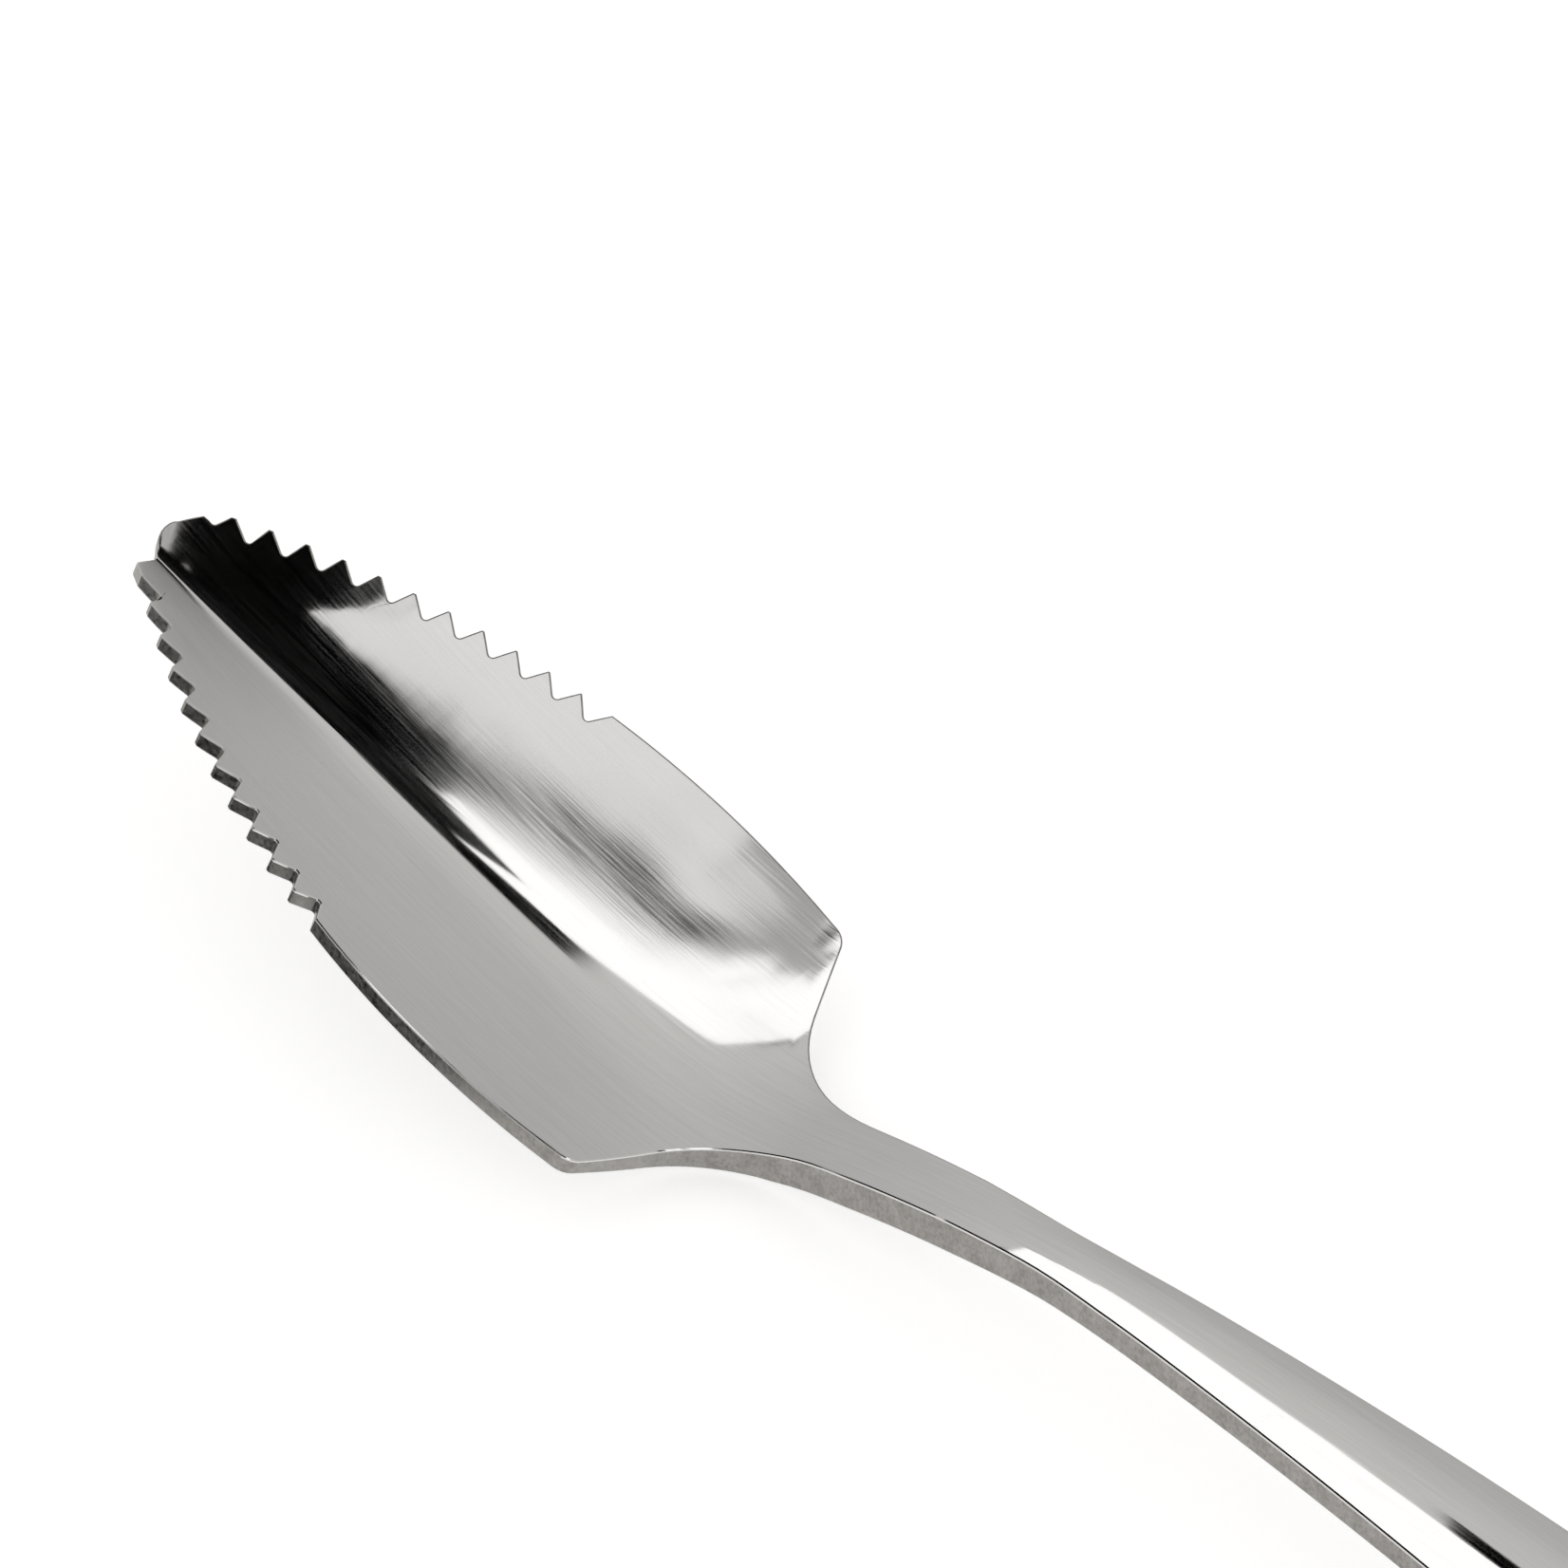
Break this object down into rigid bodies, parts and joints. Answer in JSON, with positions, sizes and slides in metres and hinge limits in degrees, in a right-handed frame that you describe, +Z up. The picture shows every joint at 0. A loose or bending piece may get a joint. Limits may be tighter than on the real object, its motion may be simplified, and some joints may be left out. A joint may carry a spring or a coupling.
{
  "type": "grapefruit spoon",
  "caption": "Pressed steel spoon with a V-folded bowl, a toothed front rim for freeing citrus segments, a narrow raised neck and a flared handle with a crowned top.",
  "frame": {"origin": "centre of the spoon's bounding box in plan, on the surface it lies on", "axes": "+X from the bowl's tip to the end of the handle, +Y across the bowl, +Z up"},
  "size_m": [0.1602, 0.0294, 0.0191],
  "materials": {
    "steel": "polished stainless steel with fine lengthwise polishing lines and grainy blanked edges"
  },
  "bodies": {
    "root": {"bowl": "steel", "neck": "steel", "handle": "steel"}
  },
  "joints": []
}
